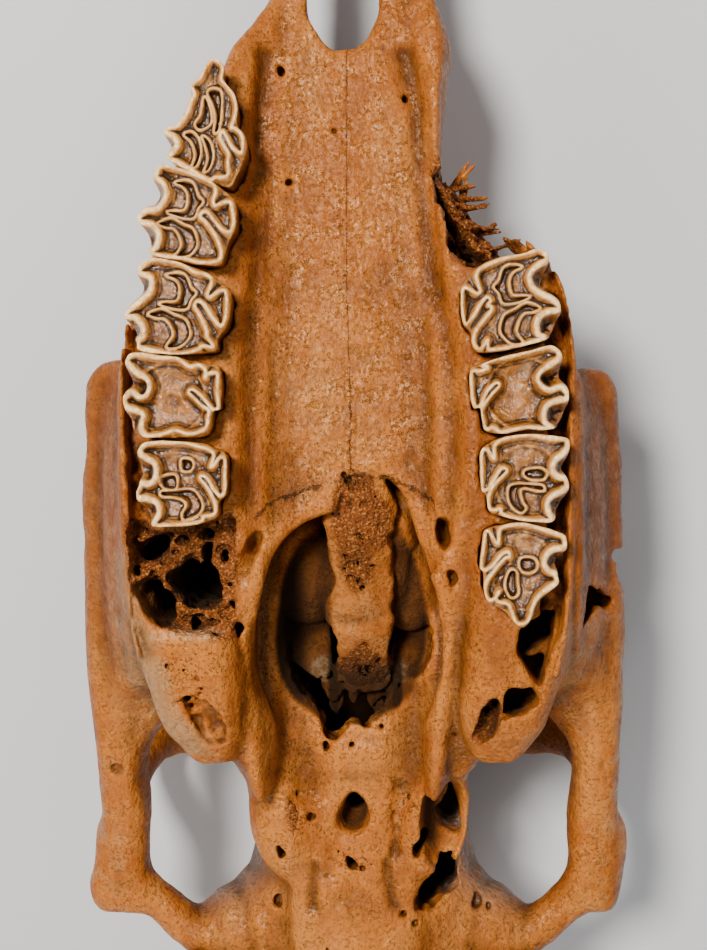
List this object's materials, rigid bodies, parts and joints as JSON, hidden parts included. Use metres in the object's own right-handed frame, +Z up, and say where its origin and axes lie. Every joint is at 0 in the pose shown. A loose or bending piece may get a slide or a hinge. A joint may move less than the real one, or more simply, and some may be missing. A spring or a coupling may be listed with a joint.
{
  "type": "horse skull",
  "caption": "Horse cranium without its lower jaw, lying on its forehead with palate, cheek teeth and rear nasal opening up.",
  "frame": {"origin": "on the floor, in the middle of the skull's length and width", "axes": "+Y towards the muzzle, +X towards the animal's left side, +Z up, which is the side of the palate"},
  "size_m": [0.2052, 0.5724, 0.151],
  "materials": {
    "bone": "old bone, warm brown, softly glossy and finely pitted",
    "tooth": "cream enamel ridges over tan dentine"
  },
  "bodies": {
    "root": {"nasal_bones": "bone", "frontal_bone": "bone", "zygomatic_arch_right": "bone", "zygomatic_arch_left": "bone", "incisive_bones": "bone", "maxilla_right": "bone", "maxilla_left": "bone", "vomer": "bone", "pterygoid_right": "bone", "pterygoid_left": "bone", "sphenoid_bone": "bone", "temporal_bone_right": "bone", "temporal_bone_left": "bone", "occipital_bone": "bone", "braincase": "bone"}
  },
  "joints": []
}
